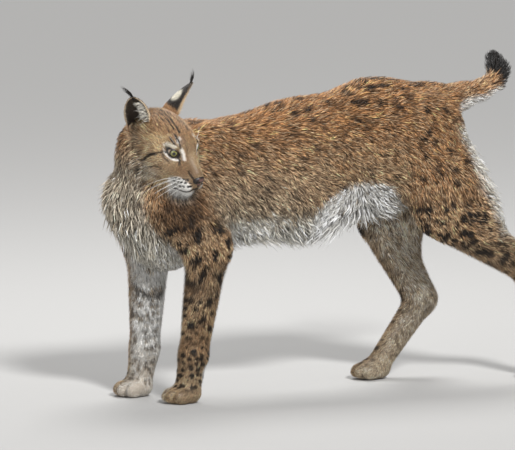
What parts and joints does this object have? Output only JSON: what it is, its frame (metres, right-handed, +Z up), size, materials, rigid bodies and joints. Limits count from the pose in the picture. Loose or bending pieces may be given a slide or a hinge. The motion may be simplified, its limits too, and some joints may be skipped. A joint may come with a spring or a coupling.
{
  "type": "eurasian lynx",
  "caption": "Life-size still model of a standing Eurasian lynx, head turned back over its shoulder, short black-tipped tail raised.",
  "frame": {"origin": "floor level, under the middle of the whole animal box", "axes": "+Z up, the animal stands along X and faces -X, its left side is -Y"},
  "size_m": [1.0584, 0.2994, 0.6975],
  "materials": {
    "body_fur": "dense short matt fur, tawny with dark spots",
    "face_fur": "very short matt fur, tawny with white and black marks",
    "throat_fur": "soft pale fur",
    "ear_fur": "short fur, black back with a pale patch, pale long hair in the cup",
    "black_fur": "thick soft black fur",
    "eye": "wet gloss, yellow-olive iris round a black pupil",
    "nose_leather": "fine-grained damp skin",
    "lip_skin": "smooth black skin of lids and lips",
    "whisker": "stiff white hairs"
  },
  "bodies": {
    "root": {"head": "face_fur", "neck": "throat_fur", "torso": "body_fur", "tail": "body_fur", "tail_tip": "black_fur", "foreleg_left": "body_fur", "forepaw_left": "body_fur", "thigh_left": "body_fur", "shank_left": "body_fur", "hindfoot_left": "body_fur", "ear_left": "ear_fur", "eye_left": "eye", "foreleg_right": "body_fur", "forepaw_right": "body_fur", "thigh_right": "body_fur", "shank_right": "body_fur", "hindfoot_right": "body_fur", "ear_right": "ear_fur", "eye_right": "eye"}
  },
  "joints": []
}
